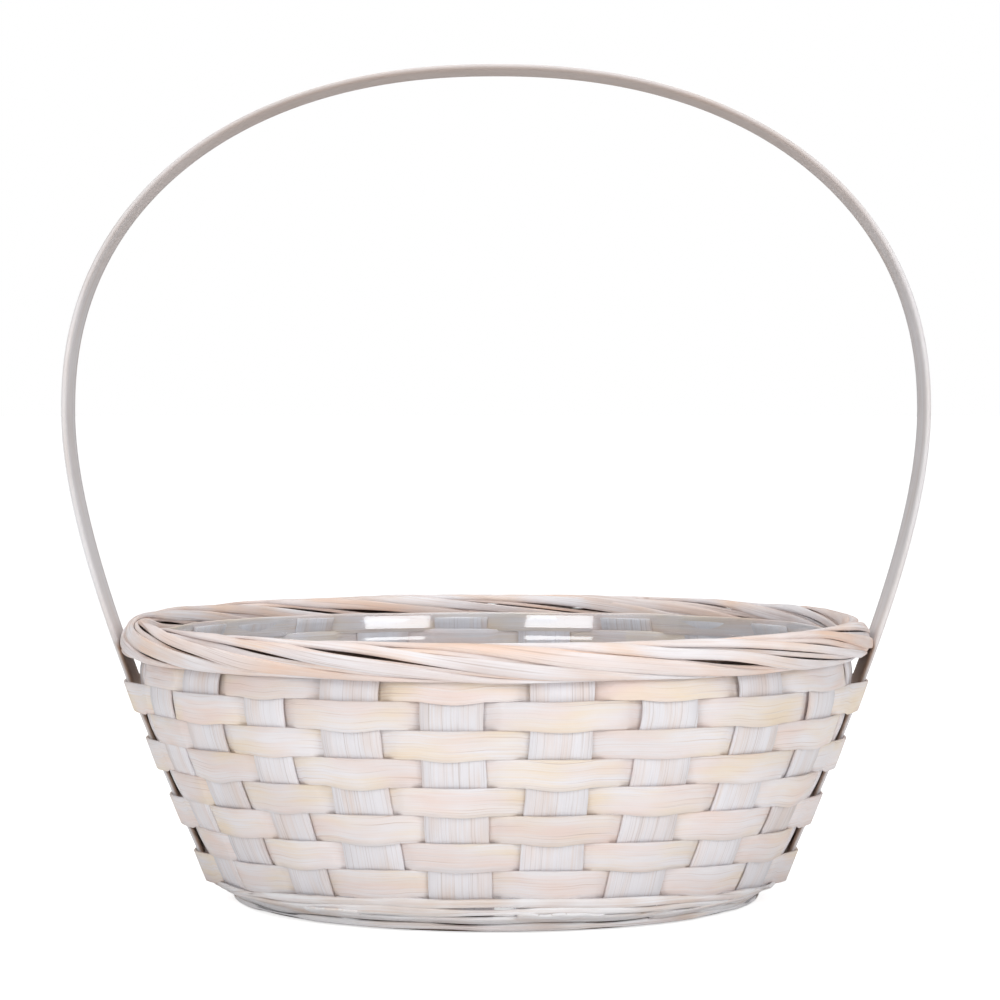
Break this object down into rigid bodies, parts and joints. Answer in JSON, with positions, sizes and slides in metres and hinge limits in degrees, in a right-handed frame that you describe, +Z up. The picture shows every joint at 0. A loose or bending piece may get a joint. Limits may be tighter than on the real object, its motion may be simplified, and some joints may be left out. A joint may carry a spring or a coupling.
{
  "type": "flower girl basket",
  "caption": "Round bowl basket woven from flat whitewashed wood chips, with a wrapped rim, a wound foot, a fixed hoop handle and a clear lift-out liner.",
  "frame": {"origin": "on the floor, at the middle of the bottom of the whole basket", "axes": "+Z up, +X along the span of the handle, -Y the front"},
  "size_m": [0.2868, 0.2488, 0.275],
  "materials": {
    "upright_chip": "whitewashed",
    "weaver_chip": "whitewashed",
    "rim_split": "whitewashed",
    "foot_split": "whitewashed",
    "handle_strip": "whitewashed",
    "clear_liner": "clear gloss"
  },
  "bodies": {
    "basket": {"front_strip_1": "upright_chip", "front_strip_2": "upright_chip", "front_strip_3": "upright_chip", "back_strip_1": "upright_chip", "back_strip_2": "upright_chip", "back_strip_3": "upright_chip", "base_middle_strip": "upright_chip", "cross_strip_1": "upright_chip", "cross_strip_2": "upright_chip", "cross_strip_3": "upright_chip", "cross_strip_4": "upright_chip", "cross_strip_5": "upright_chip", "weaver_1": "weaver_chip", "weaver_2": "weaver_chip", "weaver_3": "weaver_chip", "weaver_4": "weaver_chip", "weaver_5": "weaver_chip", "weaver_6": "weaver_chip", "weaver_7": "weaver_chip", "weaver_8": "weaver_chip", "rim_core": "rim_split", "rim_split_1": "rim_split", "rim_split_2": "rim_split", "rim_split_3": "rim_split", "rim_split_4": "rim_split", "rim_split_5": "rim_split", "rim_split_6": "rim_split", "foot_ring": "foot_split", "foot_split_1": "foot_split", "foot_split_2": "foot_split", "foot_split_3": "foot_split", "foot_split_4": "foot_split", "handle_hoop": "handle_strip"},
    "liner": {"liner": "clear_liner"}
  },
  "joints": [
    {"name": "liner_lift", "type": "slide", "parent": "basket", "child": "liner", "axis": [0, 0, 1], "range_m": [0, 0.1]}
  ]
}
